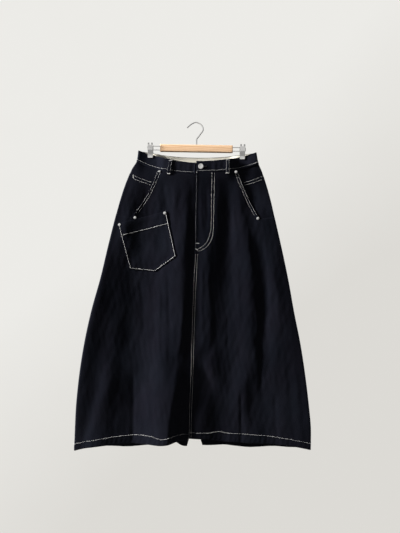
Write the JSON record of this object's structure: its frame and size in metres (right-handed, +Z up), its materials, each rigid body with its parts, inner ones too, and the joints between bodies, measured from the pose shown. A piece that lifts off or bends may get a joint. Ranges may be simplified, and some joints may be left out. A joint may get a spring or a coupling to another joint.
{
  "type": "denim skirt on a clip hanger",
  "caption": "Long A-line denim skirt with a fly front, slanted pockets and a patch pocket, hung flat by its waistband from a wooden clip hanger.",
  "frame": {"origin": "inside top of the hanger's hook, where a rail or a wall pin carries it", "axes": "+Z up, the front of the skirt faces -Y, +X is the viewer's right (the wearer's left)"},
  "size_m": [0.7545, 0.0716, 1.0534],
  "materials": {
    "black_denim": "matt twill",
    "ecru_twill": "matt twill",
    "bright_steel": "bright plated",
    "pale_wood": "satin lacquer"
  },
  "bodies": {
    "root": {"front_panel_right": "black_denim", "front_panel_left": "black_denim", "back_panel_right": "black_denim", "back_panel_left": "black_denim", "fly_shield": "black_denim", "hip_panel_right": "black_denim", "hip_panel_left": "black_denim", "coin_pocket_right": "black_denim", "coin_pocket_left": "black_denim", "patch_pocket": "black_denim", "waistband": "black_denim", "belt_loop_front_right": "black_denim", "belt_loop_front_left": "black_denim", "belt_loop_side_right": "black_denim", "belt_loop_side_left": "black_denim", "belt_loop_back": "black_denim", "waistband_facing": "ecru_twill", "waist_button": "bright_steel", "rivet_pocket_right_top": "bright_steel", "rivet_pocket_right_end": "bright_steel", "rivet_pocket_left_top": "bright_steel", "rivet_pocket_left_end": "bright_steel", "rivet_patch_inner": "bright_steel", "rivet_patch_outer": "bright_steel", "hanger_hook": "bright_steel", "hanger_rail_right": "bright_steel", "hanger_rail_left": "bright_steel", "clip_body_right": "bright_steel", "clip_body_left": "bright_steel", "clip_jaw_right": "bright_steel", "clip_jaw_left": "bright_steel", "clip_spring_right": "bright_steel", "clip_spring_left": "bright_steel", "hanger_bar": "pale_wood"}
  },
  "joints": []
}
